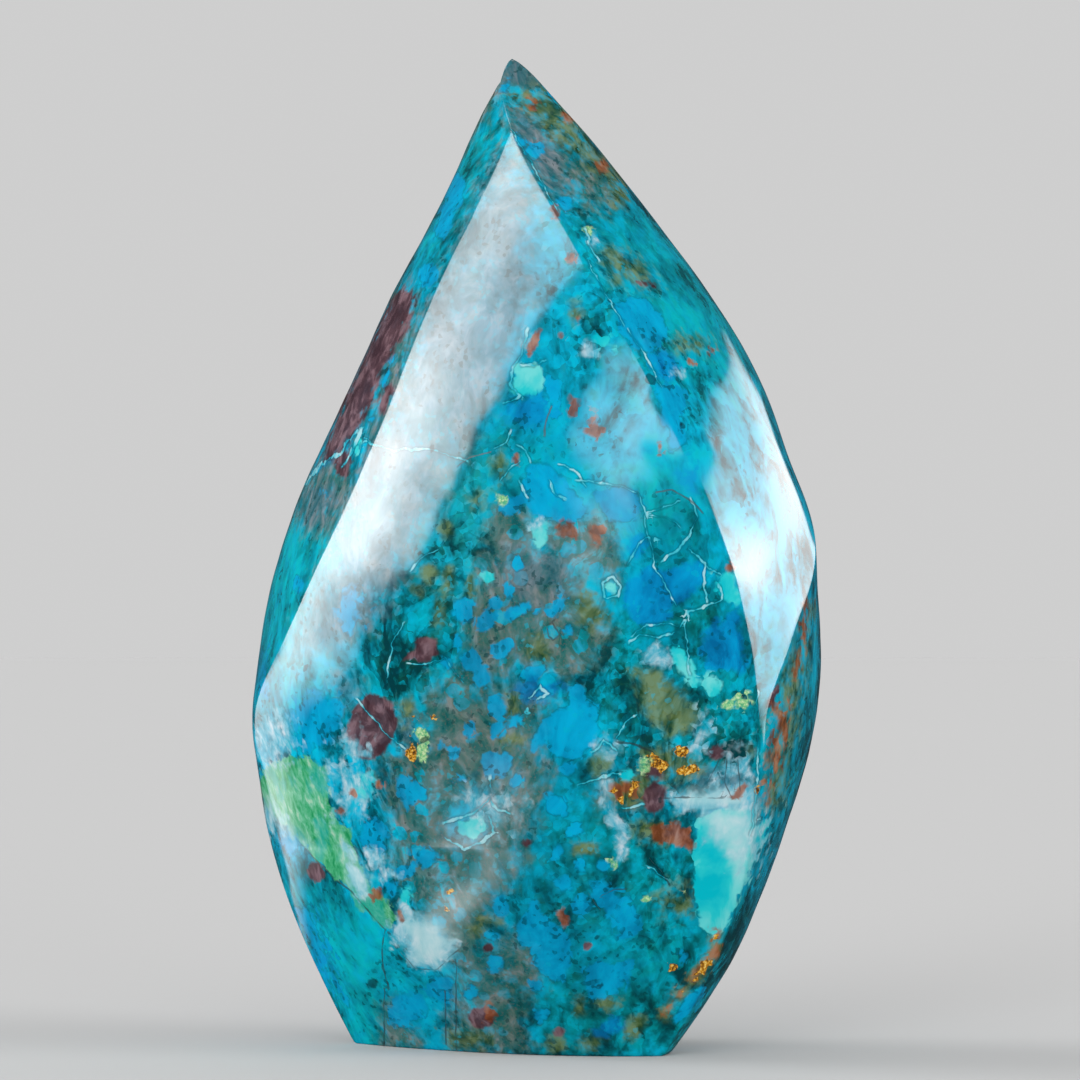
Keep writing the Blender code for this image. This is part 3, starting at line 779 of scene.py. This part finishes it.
def past_limb(places, x):
    """How far each place is behind the stone's limb as the camera sees it, in mm; negative before it."""
    bands = np.round(places[:, 2] / LIMB_BAND).astype(int)
    limit = np.zeros(len(places))
    for band in np.unique(bands):
        here = np.flatnonzero(bands == band)
        left, right = here[np.argmin(x[here])], here[np.argmax(x[here])]
        limit[here] = np.interp(x[here], (x[left], x[right]), (places[left, 1], places[right, 1]))
    return places[:, 1] - limit


def give_minerals(stone):
    """Writes each mineral's depth to the stone's points, for its material to read."""
    mesh = stone.data
    places = read_vectors(mesh.vertices, "co") / MM
    seen = seen_from_camera(places)
    turned = [scale * value + shift for scale, value, shift in zip(TURNED_SCALE, seen, TURNED_SHIFT)]
    behind = past_limb(places, seen[0])
    sides = ((*seen, np.maximum(behind, 0)), (*turned, np.maximum(-behind, 0)))
    for name in OVALS | PATCHES | STROKES:
        depth = np.maximum(*(mineral_depth(name, *side) for side in sides))
        values = mesh.attributes.new(name, "FLOAT", "POINT")
        values.data.foreach_set("value", depth.astype(np.float32))
    for name in LINES:
        front, back = (nearest_line(name, *side) for side in sides)
        nearer = np.where(front[:, 1:2] < back[:, 1:2], front, back)
        values = mesh.attributes.new(name, "FLOAT_VECTOR", "POINT")
        values.data.foreach_set("vector", nearer.astype(np.float32).ravel())


# ---------------------------------------------------------------- the stone's material

STUDIO_BRIGHTNESS = 1.45  # how much brighter than its own colour the stone looks in this light
STONE_IOR = 1.54

# Each mineral's colours, as they look in the studio's light: a value of the noise that shades it, and
# the red, green and blue that it has there, from 0 to 255.
COLOURS = {
    "body": [
        (0.26, 0, 60, 72), (0.38, 0, 100, 118), (0.47, 0, 134, 158), (0.55, 0, 156, 188),
        (0.66, 0, 178, 214), (0.78, 0, 190, 220),
    ],
    "green": [
        (0.28, 0, 60, 62), (0.42, 0, 102, 100), (0.52, 0, 136, 138), (0.64, 0, 162, 166),
        (0.76, 0, 182, 186),
    ],
    "mossy": [
        (0.3, 12, 72, 52), (0.42, 34, 90, 56), (0.5, 0, 108, 98), (0.6, 0, 144, 164), (0.7, 0, 172, 204),
    ],
    "matrix": [(0.32, 14, 92, 92), (0.44, 54, 106, 98), (0.56, 92, 116, 108), (0.68, 132, 134, 128)],
    "clasts": [(0.4, 0, 132, 140), (0.52, 0, 158, 190), (0.62, 0, 176, 206)],
    # Grey slate, which is partly painted highlight where it lies under the left highlight.
    "slate_and_painted_highlight": [(0.34, 40, 92, 110), (0.46, 74, 112, 128), (0.56, 104, 124, 138), (0.68, 136, 144, 154)],
    "olive": [(0.36, 34, 68, 34), (0.48, 84, 106, 56), (0.6, 116, 136, 90)],
    "sky": [(0.38, 0, 132, 176), (0.5, 0, 158, 204), (0.62, 0, 176, 222)],
    "royal": [(0.36, 0, 104, 158), (0.5, 0, 132, 190), (0.64, 0, 152, 208)],
    "aqua": [(0.38, 0, 186, 202), (0.5, 40, 202, 208), (0.62, 110, 216, 216)],
    "malachite": [
        (0.34, 30, 140, 84), (0.44, 60, 164, 112), (0.52, 88, 178, 134), (0.6, 116, 192, 158),
        (0.68, 170, 204, 178),
    ],
    "maroon": [(0.36, 66, 42, 50), (0.5, 88, 60, 68), (0.64, 130, 100, 108)],
    "pale": [(0.34, 36, 164, 190), (0.44, 96, 182, 204), (0.54, 148, 198, 214), (0.66, 200, 218, 228)],
    "rust": [(0.36, 112, 56, 28), (0.5, 150, 84, 52), (0.64, 176, 120, 92)],
    "gold": [(0.36, 74, 54, 30), (0.46, 160, 104, 32), (0.55, 214, 156, 44), (0.66, 240, 206, 120)],
    "lime": [(0.35, 84, 176, 128), (0.5, 150, 208, 140), (0.64, 210, 234, 180)],
    "veins": [(0.4, 0, 164, 190), (0.52, 70, 198, 216), (0.64, 170, 224, 232)],
}
PINK_SPECKS = (138, 100, 88)
SKY_RIM = (0, 82, 100)
LIGHT_FLECKS = (0, 178, 204)
DARK_FLECKS = (0, 62, 66)
MALACHITE_BLUE = (24, 166, 160)
FROST_DARK = (150, 214, 220)
FROST_LIGHT = (214, 230, 232)
VEIN_SHADE = (0, 74, 88)
CRACK_SHADE = (6, 40, 46)


def paint(red, green, blue):
    """The shader's colour for one that is seen in the studio's light, from 0 to 255."""
    parts = [value / 255 for value in (red, green, blue)]
    linear = [p / 12.92 if p <= 0.04045 else ((p + 0.055) / 1.055) ** 2.4 for p in parts]
    return (*(p / STUDIO_BRIGHTNESS for p in linear), 1.0)


class Shader:
    """Adds nodes to a node tree one calculation at a time."""

    def __init__(self, tree):
        self.tree = tree

    def set(self, socket, value):
        if isinstance(value, bpy.types.NodeSocket):
            self.tree.links.new(value, socket)
        else:
            socket.default_value = value

    def node(self, kind, values, **settings):
        """A new node with its settings and its inputs' values, by place or by name."""
        node = self.tree.nodes.new(kind)
        for name, setting in settings.items():
            setattr(node, name, setting)
        for socket, value in values.items():
            self.set(node.inputs[socket], value)
        return node.outputs

    def math(self, operation, *values):
        return self.node("ShaderNodeMath", dict(enumerate(values)), operation=operation)[0]

    def vector(self, operation, *values):
        return self.node("ShaderNodeVectorMath", dict(enumerate(values)), operation=operation)[0]

    def scaled(self, vector, scale):
        return self.node("ShaderNodeVectorMath", {0: vector, "Scale": scale}, operation="SCALE")[0]

    def times(self, *values):
        product = values[0]
        for value in values[1:]:
            product = self.math("MULTIPLY", product, value)
        return product

    def plus(self, base, value, scale):
        """A value with another one added to it, scaled."""
        return self.math("MULTIPLY_ADD", value, scale, base)

    def noise(self, place, size, detail=3.0, rough=0.55, output="Fac"):
        """Cloudy noise from 0 to 1, whose largest features are about size millimetres."""
        values = {"Vector": place, "Scale": 1 / size, "Detail": detail, "Roughness": rough}
        return self.node("ShaderNodeTexNoise", values)[output]

    def cells(self, place, size):
        """Cells about size millimetres across: their random colours, and the distance from their seeds."""
        return self.node("ShaderNodeTexVoronoi", {"Vector": place, "Scale": 1 / size})

    def ruffled(self, place, size, reach):
        """A place pushed about by noise, by up to about reach millimetres."""
        push = self.vector("SUBTRACT", self.noise(place, size, 2.0, output="Color"), (0.5, 0.5, 0.5))
        return self.vector("ADD", place, self.scaled(push, 2 * reach))

    def step(self, value, low, high, top=1.0):
        """Changes smoothly from 0 to top as the value goes from low to high."""
        values = {"Value": value, "From Min": low, "From Max": high, "To Max": top}
        return self.node("ShaderNodeMapRange", values, interpolation_type="SMOOTHSTEP")["Result"]

    def mix(self, share, first, second):
        return self.node("ShaderNodeMix", {0: share, 6: first, 7: second}, data_type="RGBA")[2]

    def blend(self, share, first, second):
        return self.node("ShaderNodeMix", {0: share, 2: first, 3: second}, data_type="FLOAT")[0]

    def ramp(self, value, name):
        """The colour that a mineral has for a value."""
        stops = COLOURS[name]
        node = self.tree.nodes.new("ShaderNodeValToRGB")
        self.set(node.inputs[0], value)
        points = node.color_ramp.elements
        while len(points) < len(stops):
            points.new(0.5)
        for point, (place, *colour) in zip(points, stops):
            point.position = place
            point.color = paint(*colour)
        return node.outputs[0]

    def attribute(self, name):
        return self.node("ShaderNodeAttribute", {}, attribute_name=name)


class StoneShader(Shader):
    """The stone's own grain, and its minerals over one another."""

    def __init__(self, tree):
        super().__init__(tree)
        coordinates = self.node("ShaderNodeTexCoord", {})["Object"]
        self.place = self.scaled(coordinates, 1 / MM)
        # Slow swirls, drawn out a little downwards, and finer ones in them.
        swirl = self.ruffled(self.vector("MULTIPLY", self.place, (1.0, 1.0, 0.62)), 13, 4.5)
        self.ruffle = self.ruffled(swirl, 2.6, 1.1)
        self.cloud = self.noise(swirl, 5.5, 4.0, 0.56)
        self.mottle = self.noise(self.ruffle, 2.1)
        self.grain = self.noise(self.place, 0.4, 2.0, 0.6)
        self.lumps = self.math("SUBTRACT", self.noise(self.place, 2.0, 2.0), 0.5)
        self.broken = self.ruffled(self.place, 1.3, 0.28)
        self.chips = self.cells(self.broken, 1.15)["Color"]
        self.chip = self.math("SUBTRACT", self.chips, 0.5)
        self.smooth = self.step(self.attribute("smooth")["Fac"], -1.2, 1.2)
        self.crushed = self.share_of("crushed")
        self.tone = self.body_tone()

    def share_of(self, quality):
        """How much a part of the stone has of a softly bounded quality."""
        return self.step(self.plus(self.attribute(quality)["Fac"], self.lumps, 5.0), -1.8, 1.4)

    def inside(self, name, rag, edge, offset=0.0, chipped=0.8):
        """A mineral's share, from its depth and a lumpy, chipped edge."""
        rough = self.plus(self.attribute(name)["Fac"], self.lumps, 2.4 * rag)
        return self.step(self.plus(rough, self.chip, chipped), offset - edge, offset + edge)

    def coat(self, colour, name, value, rag, edge, share=1.0, offset=0.0, chipped=0.8):
        """The colour with a mineral over it, shaded by a value."""
        covered = self.times(self.inside(name, rag, edge, offset, chipped), share)
        return self.mix(covered, colour, self.ramp(value, name))

    def fleck(self, colour, flecks, limits, cloud_limits, top, shade):
        covered = self.times(self.step(flecks, *limits), self.step(self.cloud, *cloud_limits, top))
        return self.mix(covered, colour, paint(*shade))

    def body_tone(self):
        """How light the body is: broken, cloudy and mottled, and calmer in its smooth parts."""
        tone = self.plus(self.times(self.cloud, 0.95), self.mottle, 0.85)
        tone = self.plus(self.math("SUBTRACT", tone, 0.54), self.cells(self.ruffle, 3.6)["Color"], 0.3)
        tone = self.plus(tone, self.times(self.chip, self.crushed), 0.36)
        even = self.plus(self.plus(0.03, self.cloud, 0.65), self.mottle, 0.35)
        tone = self.blend(self.times(self.smooth, 0.88), tone, even)
        # Partly painted light: the brighter parts lighten the body where highlights fall and along the left
        # limb, as well as where its own tone is lighter.
        tone = self.plus(tone, self.share_of("brighter_and_painted_light"), 0.15)
        return self.plus(tone, self.share_of("deeper"), -0.13)

    def body(self):
        """Broken blue to green chrysocolla, mossy where it is crushed."""
        greener = self.times(self.share_of("greener"), 0.85)
        colour = self.mix(greener, self.ramp(self.tone, "body"), self.ramp(self.tone, "green"))
        mossy = self.times(self.crushed, self.step(self.mottle, 0.4, 0.6), 0.5)
        return self.mix(mossy, colour, self.ramp(self.chips, "mossy"))

    def matrix(self):
        """Brown-grey rock, with specks of pink and small blue clasts."""
        specks = self.step(self.grain, 0.54, 0.7, 0.34)
        colour = self.mix(specks, self.ramp(self.mottle, "matrix"), paint(*PINK_SPECKS))
        clasts = self.cells(self.ruffled(self.place, 1.5, 0.6), 2.7)
        sort = self.plus(clasts["Color"], self.lumps, 0.6)
        clast = self.times(self.step(sort, 0.58, 0.6), self.step(clasts["Distance"], 0.46, 0.4))
        clast = self.times(clast, self.plus(0.9, self.smooth, -0.75))
        return self.mix(clast, colour, self.ramp(self.mottle, "clasts"))

    def blues(self, colour):
        """Sky blue clasts, darker round their edges, and royal blue ones."""
        rim = self.times(self.inside("sky", 0.9, 0.16, -0.25), self.step(self.cloud, 0.42, 0.58, 0.5))
        colour = self.mix(rim, colour, paint(*SKY_RIM))
        calm = self.plus(self.times(self.cloud, 0.65), self.mottle, 0.35)
        colour = self.coat(colour, "sky", calm, 0.9, 0.26, 0.92)
        return self.coat(colour, "royal", self.tone, 0.9, 0.5, 0.9)

    def flecks(self, colour):
        flecks = self.cells(self.broken, 0.62)["Color"]
        colour = self.fleck(colour, flecks, (0.72, 0.82), (0.46, 0.6), 0.4, LIGHT_FLECKS)
        return self.fleck(colour, flecks, (0.28, 0.18), (0.56, 0.42), 0.6, DARK_FLECKS)

    def malachite(self, colour):
        """Green, streaked along its band and clouded with blue."""
        along = self.vector("MULTIPLY", self.ruffled(self.place, 4, 1.2), (1.0, 1.0, 0.45))
        leaf = self.ramp(self.noise(along, 1.5, 5.0, 0.62), "malachite")
        leaf = self.mix(self.step(self.cloud, 0.46, 0.6, 0.6), leaf, paint(*MALACHITE_BLUE))
        return self.mix(self.inside("malachite", 0.9, 0.25), colour, leaf)

    def frost(self, colour):
        """A smooth whitening, strongest at its middle."""
        covered = self.step(self.plus(self.attribute("frost")["Fac"], self.lumps, 3.0), -1.4, 2.2, 0.8)
        return self.mix(covered, colour, self.mix(self.mottle, paint(*FROST_DARK), paint(*FROST_LIGHT)))

    def line(self, name, waver):
        """Veins or cracks: their share, and that of a narrow band beside them."""
        place = self.node("ShaderNodeSeparateXYZ", {0: self.attribute(name)["Vector"]})
        offset = self.math("ABSOLUTE", self.math("ADD", place[0], self.times(self.lumps, waver)))
        half = self.times(place[2], self.math("SUBTRACT", self.mottle, 0.34))
        room = self.math("SUBTRACT", half, offset)
        close = self.math("SUBTRACT", 1.0, self.step(place[1], 0.5, 0.95))
        return self.times(self.step(room, -0.06, 0.04), close), self.times(self.step(room, -0.4, -0.1), close)

    def veins(self, colour):
        for name in ("veins_first", "veins_second"):
            vein, beside = self.line(name, 1.3)
            colour = self.mix(self.times(beside, 0.4), colour, paint(*VEIN_SHADE))
            colour = self.mix(self.times(vein, 0.85), colour, self.ramp(self.mottle, "veins"))
        return colour


def chrysocolla():
    material = bpy.data.materials.new("polished_chrysocolla")
    material.use_nodes = True
    stone = StoneShader(material.node_tree)
    earthy = stone.times(stone.inside("matrix", 1.7, 1.2, -0.5), stone.step(stone.tone, 0.86, 0.64))
    colour = stone.mix(stone.times(earthy, 0.88), stone.body(), stone.matrix())
    # Grey slate over the body. Under the left highlight it is partly painted highlight.
    colour = stone.coat(colour, "slate_and_painted_highlight", stone.mottle, 1.6, 1.0, 0.66)
    colour = stone.coat(colour, "olive", stone.mottle, 1.2, 0.9, 0.85)
    colour = stone.blues(colour)
    colour = stone.flecks(colour)
    colour = stone.coat(colour, "aqua", stone.cloud, 0.8, 0.25)
    colour = stone.malachite(colour)
    colour = stone.coat(colour, "maroon", stone.mottle, 0.7, 0.3, 0.96, chipped=0.3)
    colour = stone.coat(colour, "pale", stone.noise(stone.ruffle, 1.6, 4.0, 0.6), 1.6, 0.7, 0.9, 0.1)
    colour = stone.frost(colour)
    colour = stone.coat(colour, "rust", stone.mottle, 0.6, 0.3, 0.85)
    colour = stone.coat(colour, "gold", stone.grain, 0.8, 0.1, chipped=1.0)
    colour = stone.coat(colour, "lime", stone.grain, 0.6, 0.2, 0.9)
    colour = stone.veins(colour)
    crack, _ = stone.line("cracks", 0.5)
    dark = stone.math("MAXIMUM", crack, stone.inside("dark", 0.3, 0.12, chipped=0.3))
    colour = stone.mix(stone.times(dark, 0.7), colour, paint(*CRACK_SHADE))

    # A high polish, a little duller on the rock and the grain, and open in the cracks.
    finish = stone.plus(stone.plus(stone.plus(0.05, earthy, 0.05), crack, 0.3), stone.grain, 0.05)
    surface = material.node_tree.nodes["Principled BSDF"]
    stone.set(surface.inputs["Base Color"], colour)
    stone.set(surface.inputs["Roughness"], finish)
    surface.inputs["IOR"].default_value = STONE_IOR
    return material


# ---------------------------------------------------------------- the stage

# The softboxes, each a curved sheet of light round the stone that shows in its polish alone. Each row
# gives an elevation, the bearings where the sheet starts and ends there, and its glow in even steps
# from the one to the other. Below 0 degrees is what a glossy table would show of it.
SOFTBOX_DISTANCE = 2.0
SOFTBOX_MIDDLE = 0.07  # how high the middle is that the sheets are curved round
SOFTBOX_COLOUR = (1.0, 0.96, 0.93, 1.0)
SOFTBOX_GRID = 20
SOFTBOX_EDGE = 0.06  # the share of its width over which a sheet starts and ends
LEFT_FADE = (0.63, 0.78, 1, 0.75, 0.49, 0.28)  # the left softbox's glow along it, as shares of its best


def fading(glow):
    return [glow * share for share in LEFT_FADE]


SOFTBOXES = {
    "left_softbox": [
        (-22, -150, -96, 0),
        (-17, -146, -90, *fading(1.7)),
        (-10, -138, -78, *fading(3.8)),
        (-4, -128, -60, *fading(5)),
        (0, -118, -54, *fading(7.2)),
        (8, -102, -42, *fading(13.9)),
        (13, -86, -34, *fading(19.1)),
        (20, -76, -22, *fading(14.8)),
        (35, -68, -12, *fading(9.6)),
        (50, -66, 4, *fading(8.6)),
        (60, -68, 24, *fading(9.6)),
        (68, -72, 45, *fading(9.6)),
        (76, -80, 60, *fading(7.7)),
        (84, -90, 70, 0),
    ],
    "right_softbox": [
        (-14, 80, 96, 0),
        (-9, 80, 104, 6),
        (0, 77, 126, 7, 7, 5, 4, 3, 3),
        (5, 82, 138, 9.5, 9.5, 6, 5.2, 3.5, 2.5),
        (10, 84, 150, 16, 16, 8.2, 4.6, 2.8, 3),
        (13, 84, 154, 11, 11, 8, 6, 5, 3.5),
        (17, 88, 152, 6.5, 6.5, 6.2, 6.4, 4, 1),
        (21, 93, 150, 4.5, 4.4, 3.6, 3, 2.4, 2),
        (24, 102, 142, 3.6, 3.4, 3, 2.6, 1.6, 1.5),
        (27, 105, 126, 3.4, 3.4, 3, 2, 0.5),
        (29, 108, 118, 0),
    ],
    "front_strip": [
        (-2, 3, 12, 0),
        (2, 2, 12.5, 0, 0.8, 1.4, 2, 2),
        (7, -2, 14.5, 0, 1.2, 2, 2.8, 2.8),
        (13, -1, 14, 0, 1.9, 3.3, 4.6, 4.6),
        (20, 1, 13, 0, 2.1, 3.6, 5, 5),
        (28, 4, 14, 0, 1.7, 2.9, 4, 4),
        (36, 4, 13, 0),
    ],
    "table_streak": [
        (-58, -96, -60, 0),
        (-52, -86, -54, 0, 1.6, 0),
        (-43, -64, -31, 0, 7, 0),
        (-37, -48, -16, 0, 2.4, 0),
        (-29, -36, -9, 0, 1.5, 0),
        (-24, -26, -4, 0, 1.4, 0),
        (-20, -12, -2, 0),
    ],
}

# The far lamps that light the stone and the floor: strength, spread in degrees and direction.
LAMPS = {
    "key": (0.35, 40, (0.5, 0.75, -0.45)),
    "low_left": (2.55, 24, (0.5, 0.86, -0.03)),
    "low_right": (0.9, 24, (-0.45, 0.89, -0.03)),
    "left_fill": (2.6, 24, (1.8, -0.4, -0.43)),
    "right_fill": (1.7, 24, (-1.7, 0.5, -0.5)),
}
# The surroundings' light on the stone, as the camera sees them, and in the stone's polish.
SURROUNDINGS = 0.8
SURROUNDINGS_SEEN = 0.62
SURROUNDINGS_MIRRORED = 0.03
WHITE = (1.0, 1.0, 1.0, 1.0)

FLOOR_REACH = 20.0
FLOOR_COLOUR = (0.493, 0.493, 0.493, 1.0)  # comes out as pale as the surroundings
FLOOR_ROUGHNESS = 0.8


def add_stage(name, points, faces, material):
    mesh = bpy.data.meshes.new(name)
    mesh.from_pydata(points, [], faces)
    mesh.materials.append(material)
    mesh.shade_smooth()
    staged = bpy.data.objects.new(name, mesh)
    bpy.context.scene.collection.objects.link(staged)
    return staged


def make_floor():
    """A plain matt floor, which doesn't show in the stone's polish."""
    material = bpy.data.materials.new("pale_floor")
    material.use_nodes = True
    surface = material.node_tree.nodes["Principled BSDF"]
    surface.inputs["Base Color"].default_value = FLOOR_COLOUR
    surface.inputs["Roughness"].default_value = FLOOR_ROUGHNESS
    surface.inputs["Specular IOR Level"].default_value = 0
    corners = [(x * FLOOR_REACH, y * FLOOR_REACH, 0) for x, y in ((-1, -1), (1, -1), (1, 1), (-1, 1))]
    floor = add_stage("floor", corners, [(0, 1, 2, 3)], material)
    floor.visible_glossy = False


def softbox_material(name):
    material = bpy.data.materials.new(name)
    material.use_nodes = True
    material.node_tree.nodes.clear()
    shade = Shader(material.node_tree)
    glow = shade.attribute("glow")["Fac"]
    light = shade.node("ShaderNodeEmission", {"Color": SOFTBOX_COLOUR, "Strength": glow})[0]
    shade.node("ShaderNodeOutputMaterial", {"Surface": light})
    return material


def make_softbox(name, rows):
    count = SOFTBOX_GRID + 1
    shares = np.linspace(0, 1, count)
    edge = np.interp(shares, (0, SOFTBOX_EDGE, 1 - SOFTBOX_EDGE, 1), (0, 1, 1, 0))
    elevations, starts, ends = ([row[column] for row in rows] for column in range(3))
    glows = np.array([edge * np.interp(shares, np.linspace(0, 1, len(row[3:])), row[3:]) for row in rows])
    points, faces, point_glows = [], [], []
    for elevation in np.linspace(elevations[0], elevations[-1], count):
        start = np.interp(elevation, elevations, starts)
        end = np.interp(elevation, elevations, ends)
        flat = SOFTBOX_DISTANCE * math.cos(math.radians(elevation))
        height = SOFTBOX_DISTANCE * math.sin(math.radians(elevation)) + SOFTBOX_MIDDLE
        for share, column in zip(shares, glows.T):
            bearing = math.radians(start + (end - start) * share)
            points.append((flat * math.sin(bearing), -flat * math.cos(bearing), height))
            point_glows.append(np.interp(elevation, elevations, column))
    for i in range(SOFTBOX_GRID):
        for j in range(SOFTBOX_GRID):
            corner = i * count + j
            faces.append((corner, corner + count, corner + count + 1, corner + 1))
    box = add_stage(name, points, faces, softbox_material(name))
    glow = box.data.attributes.new("glow", "FLOAT", "POINT")
    glow.data.foreach_set("value", point_glows)
    box.visible_camera = box.visible_diffuse = box.visible_shadow = False


def make_lamps():
    for name, (strength, spread, direction) in LAMPS.items():
        data = bpy.data.lights.new(name, "SUN")
        data.energy = strength
        data.angle = math.radians(spread)
        lamp = bpy.data.objects.new(name, data)
        lamp.rotation_euler = Vector(direction).to_track_quat("-Z", "Y").to_euler()
        lamp.visible_glossy = False
        bpy.context.scene.collection.objects.link(lamp)


def make_world():
    """Pale where the camera sees it, soft light for the stone, and dark in its polish."""
    world = bpy.data.worlds.new("studio")
    world.use_nodes = True
    shade = Shader(world.node_tree)
    ray = shade.node("ShaderNodeLightPath", {})
    strength = shade.blend(ray["Is Camera Ray"], SURROUNDINGS, SURROUNDINGS_SEEN)
    strength = shade.blend(ray["Is Glossy Ray"], strength, SURROUNDINGS_MIRRORED)
    background = world.node_tree.nodes["Background"]
    shade.set(background.inputs["Color"], WHITE)
    shade.set(background.inputs["Strength"], strength)
    bpy.context.scene.world = world


def make_camera():
    data = bpy.data.cameras.new("camera")
    data.lens = CAMERA_LENS
    data.sensor_width = CAMERA_SENSOR
    data.clip_start, data.clip_end = 0.01, 50
    camera = bpy.data.objects.new("camera", data)
    camera.location = Vector(CAMERA_PLACE) * MM
    camera.rotation_euler = (math.radians(90) + CAMERA_PITCH, 0, 0)
    bpy.context.scene.collection.objects.link(camera)
    bpy.context.scene.camera = camera


# ---------------------------------------------------------------- putting it together

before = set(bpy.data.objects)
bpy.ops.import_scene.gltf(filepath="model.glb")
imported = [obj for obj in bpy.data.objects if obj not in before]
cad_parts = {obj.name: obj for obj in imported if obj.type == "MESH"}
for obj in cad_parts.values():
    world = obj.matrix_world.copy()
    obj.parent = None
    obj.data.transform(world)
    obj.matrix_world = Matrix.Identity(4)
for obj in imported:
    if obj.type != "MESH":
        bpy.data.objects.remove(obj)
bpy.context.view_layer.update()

stone = make_stone()
give_minerals(stone)
stone.data.materials.append(chrysocolla())
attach(stone, "root")
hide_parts("chrysocolla_flame")

make_floor()
for name, rows in SOFTBOXES.items():
    make_softbox(name, rows)
make_lamps()
make_world()
make_camera()
bpy.context.scene.view_settings.view_transform = "Standard"
